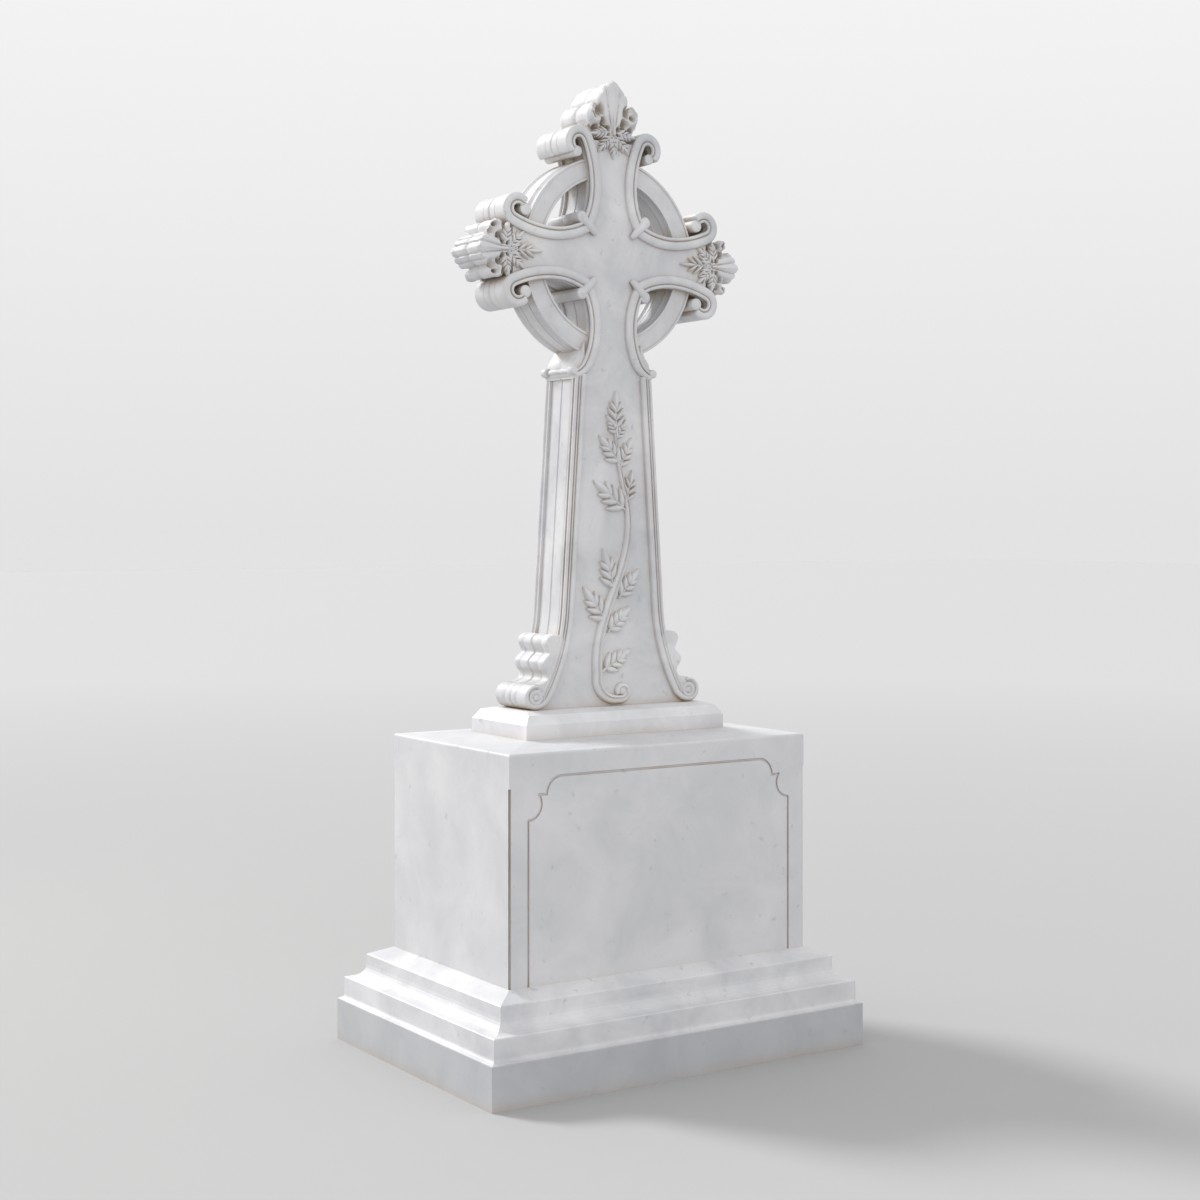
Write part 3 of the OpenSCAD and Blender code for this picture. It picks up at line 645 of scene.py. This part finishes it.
def marble(name, light, dark, cloud, greyer_below=None):
    """White marble with soft clouds and specks, and painted warm shade in the recesses."""
    mat = bpy.data.materials.new(name)
    mat.use_nodes = True
    tree = mat.node_tree
    nodes, links = tree.nodes, tree.links
    bsdf = nodes["Principled BSDF"]
    coords = nodes.new("ShaderNodeTexCoord")
    place = coords.outputs["Object"]

    clouds = nodes.new("ShaderNodeTexNoise")
    clouds.inputs["Scale"].default_value = cloud
    clouds.inputs["Detail"].default_value = 6
    clouds.inputs["Roughness"].default_value = 0.62
    clouds.inputs["Distortion"].default_value = 0.5
    ramp = nodes.new("ShaderNodeValToRGB")
    ramp.color_ramp.elements[0].position = 0.32
    ramp.color_ramp.elements[1].position = 0.66
    ramp.color_ramp.elements[0].color = (*dark, 1)
    ramp.color_ramp.elements[1].color = (*light, 1)

    specks = nodes.new("ShaderNodeTexNoise")
    specks.inputs["Scale"].default_value = 34
    specks.inputs["Detail"].default_value = 3
    speck_ramp = nodes.new("ShaderNodeMapRange")
    speck_ramp.inputs["From Min"].default_value = 0.66
    speck_ramp.inputs["From Max"].default_value = 0.76
    speck_ramp.inputs["To Min"].default_value = 0.0
    speck_ramp.inputs["To Max"].default_value = 0.42
    speck_mix = nodes.new("ShaderNodeMixRGB")
    speck_mix.inputs["Color2"].default_value = (0.32, 0.33, 0.36, 1)

    # Painted shade: occlusion by nearby surfaces tints the recesses warm brown, broken into patches by
    # noise
    hollow = nodes.new("ShaderNodeAmbientOcclusion")
    hollow.samples = 6
    hollow.inputs["Distance"].default_value = RECESS_SHADE_DEPTH
    recess_shade = nodes.new("ShaderNodeMapRange")
    recess_shade.inputs["From Min"].default_value = 0.74
    recess_shade.inputs["From Max"].default_value = 0.20
    recess_shade.inputs["To Min"].default_value = 0.0
    recess_shade.inputs["To Max"].default_value = RECESS_SHADE_AMOUNT
    patch = nodes.new("ShaderNodeTexNoise")
    patch.inputs["Scale"].default_value = 5.5
    patch.inputs["Detail"].default_value = 4
    patch_range = nodes.new("ShaderNodeMapRange")
    patch_range.inputs["From Min"].default_value = 0.3
    patch_range.inputs["From Max"].default_value = 0.6
    patch_range.inputs["To Min"].default_value = 0.35
    patch_range.inputs["To Max"].default_value = 1.0
    product = nodes.new("ShaderNodeMath")
    product.operation = "MULTIPLY"
    recess_shade_mix = nodes.new("ShaderNodeMixRGB")
    recess_shade_mix.inputs["Color2"].default_value = (*RECESS_SHADE, 1)

    grain = nodes.new("ShaderNodeTexNoise")
    grain.inputs["Scale"].default_value = 90
    grain.inputs["Detail"].default_value = 5
    bump_node = nodes.new("ShaderNodeBump")
    bump_node.inputs["Strength"].default_value = 0.10
    bump_node.inputs["Distance"].default_value = 0.002

    for node in (clouds, specks, patch, grain):
        links.new(place, node.inputs["Vector"])
    links.new(clouds.outputs["Fac"], ramp.inputs["Fac"])
    links.new(specks.outputs["Fac"], speck_ramp.inputs["Value"])
    links.new(speck_ramp.outputs["Result"], speck_mix.inputs["Fac"])
    links.new(ramp.outputs["Color"], speck_mix.inputs["Color1"])
    links.new(hollow.outputs["AO"], recess_shade.inputs["Value"])
    links.new(patch.outputs["Fac"], patch_range.inputs["Value"])
    links.new(recess_shade.outputs["Result"], product.inputs[0])
    links.new(patch_range.outputs["Result"], product.inputs[1])
    links.new(product.outputs[0], recess_shade_mix.inputs["Fac"])
    stone = speck_mix.outputs["Color"]
    # Greyer below the given height: on the plinth, its lower fascia
    if greyer_below is not None:
        split = nodes.new("ShaderNodeSeparateXYZ")
        level = nodes.new("ShaderNodeMapRange")
        level.inputs["From Min"].default_value = greyer_below + 0.004
        level.inputs["From Max"].default_value = greyer_below - 0.004
        level.inputs["To Max"].default_value = 0.6
        grey_below_mix = nodes.new("ShaderNodeMixRGB")
        grey_below_mix.inputs["Color2"].default_value = (0.36, 0.37, 0.39, 1)
        links.new(place, split.inputs["Vector"])
        links.new(split.outputs["Z"], level.inputs["Value"])
        links.new(level.outputs["Result"], grey_below_mix.inputs["Fac"])
        links.new(stone, grey_below_mix.inputs["Color1"])
        stone = grey_below_mix.outputs["Color"]
    links.new(stone, recess_shade_mix.inputs["Color1"])
    links.new(recess_shade_mix.outputs["Color"], bsdf.inputs["Base Color"])
    links.new(grain.outputs["Fac"], bump_node.inputs["Height"])
    links.new(bump_node.outputs["Normal"], bsdf.inputs["Normal"])
    bsdf.inputs["Roughness"].default_value = 0.5
    bsdf.inputs["IOR"].default_value = 1.5
    return mat


# ---------------------------------------------------------------- put together

head, shaft, carving, leaves = Solid(), Solid(), Solid(), Solid()
add_mouldings(head, shaft)
add_rolls(head)
shaft.prism(core_outline(), -FACE, FACE)
add_foot_scrolls(shaft)
add_ring(carving)
add_vine(leaves)

cross_marble = marble("cross_marble", (0.70, 0.70, 0.71), (0.52, 0.525, 0.55), 5.0)
pieces = [
    head.make("cross_head_mouldings"),
    shaft.make("cross_shaft"),
    carving.make("cross_ring"),
    leaves.make("cross_vine", 50),
]
for name, end, reach in [("crown", 0, CROWN_REACH), ("left", -1, ARM_REACH), ("right", 1, ARM_REACH)]:
    crest = Solid()
    crest.tube(turned_crest(crest_shell(reach), end))
    pieces.append(crest.make("crest_" + name, 60))
sprays = Solid()
for end in (0, -1, 1):
    for face in (1, -1):
        add_spray(sprays, end, face)
pieces.append(sprays.make("crest_sprays", 50))
for piece in pieces:
    piece.data.materials.append(cross_marble)
    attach(piece, "root")
    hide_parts("cross")

looks = {
    "base_plinth": marble("plinth_marble", (0.72, 0.72, 0.735), (0.54, 0.545, 0.57), 5.0, FASCIA_TOP),
    "die_block": marble("die_marble", (0.67, 0.67, 0.685), (0.57, 0.575, 0.595), 5.0),
    "foot_slab": marble("slab_marble", (0.75, 0.75, 0.765), (0.60, 0.605, 0.63), 6.0),
    "cross": cross_marble,
}
for node, mat in looks.items():
    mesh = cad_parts[node].data
    mesh.materials.clear()
    mesh.materials.append(mat)

# ---------------------------------------------------------------- studio


def plain(name, color, roughness=0.9):
    mat = bpy.data.materials.new(name)
    mat.use_nodes = True
    mat.node_tree.nodes["Principled BSDF"].inputs["Base Color"].default_value = (*color, 1)
    mat.node_tree.nodes["Principled BSDF"].inputs["Roughness"].default_value = roughness
    return mat


floor_mesh = bpy.data.meshes.new("floor")
floor_mesh.from_pydata([(-60, -60, 0), (60, -60, 0), (60, 60, 0), (-60, 60, 0)], [], [(0, 1, 2, 3)])
floor = bpy.data.objects.new("floor", floor_mesh)
bpy.context.scene.collection.objects.link(floor)
floor_look = plain("floor_grey", (0.45, 0.45, 0.45))
# Painted light on the floor: its colour is darker near the stone and lighter further out, so it fades into
# the sky at the horizon
fade = floor_look.node_tree
reach_out = fade.nodes.new("ShaderNodeVectorMath")
reach_out.operation = "LENGTH"
painted_floor_light = fade.nodes.new("ShaderNodeMapRange")
painted_floor_light.inputs["From Min"].default_value = 2
painted_floor_light.inputs["From Max"].default_value = 14
painted_floor_light.inputs["To Min"].default_value = 0.430
painted_floor_light.inputs["To Max"].default_value = 0.533
fade.links.new(fade.nodes.new("ShaderNodeTexCoord").outputs["Object"], reach_out.inputs[0])
fade.links.new(reach_out.outputs["Value"], painted_floor_light.inputs["Value"])
fade.links.new(painted_floor_light.outputs["Result"], fade.nodes["Principled BSDF"].inputs["Base Color"])
floor.data.materials.append(floor_look)


def area_light(name, place, target, size, power):
    lamp = bpy.data.lights.new(name, "AREA")
    lamp.shape = "SQUARE"
    lamp.size = size
    lamp.energy = power
    obj = bpy.data.objects.new(name, lamp)
    obj.location = place
    way = np.array(target) - np.array(place)
    yaw = math.atan2(way[1], way[0]) - math.pi / 2
    pitch = math.atan2(way[2], math.hypot(way[0], way[1]))
    obj.rotation_euler = (math.pi / 2 + pitch, 0, yaw)
    bpy.context.scene.collection.objects.link(obj)
    return lamp


sun = bpy.data.lights.new("sun", "SUN")
sun.energy = 2.3
sun.angle = math.radians(14)
sun_obj = bpy.data.objects.new("sun", sun)
sun_obj.rotation_euler = (math.radians(52), 0, math.radians(205))
bpy.context.scene.collection.objects.link(sun_obj)
area_light("front_fill", (-1.5, -6.5, 3.2), (0, 0, 1.4), 4.0, 60)
back_glow = area_light("back_glow", (-3.0, 3.0, 2.5), (0, 0, 2.2), 1.5, 25)
back_glow.color = (1.0, 0.94, 0.86)

world = bpy.data.worlds.new("studio")
bpy.context.scene.world = world
world.use_nodes = True
sky = world.node_tree
direction = sky.nodes.new("ShaderNodeTexCoord")
split = sky.nodes.new("ShaderNodeSeparateXYZ")
height = sky.nodes.new("ShaderNodeMapRange")
height.inputs["From Min"].default_value = 0.0
height.inputs["From Max"].default_value = 0.26
height.inputs["To Min"].default_value = 0.765
height.inputs["To Max"].default_value = 0.90
sky.links.new(direction.outputs["Generated"], split.inputs["Vector"])
sky.links.new(split.outputs["Z"], height.inputs["Value"])
sky.links.new(height.outputs["Result"], sky.nodes["Background"].inputs["Strength"])
sky.nodes["Background"].inputs["Color"].default_value = (1, 1, 1, 1)
bpy.context.scene.view_settings.view_transform = "Standard"

lens = bpy.data.cameras.new("camera")
lens.lens = 59.4
lens.sensor_width = 36
lens.shift_y = -0.0617
camera = bpy.data.objects.new("camera", lens)
camera.location = (-3.184, -4.8245, 1.504)
camera.rotation_euler = (math.pi / 2, 0, math.radians(-33.46))
bpy.context.scene.collection.objects.link(camera)
bpy.context.scene.camera = camera
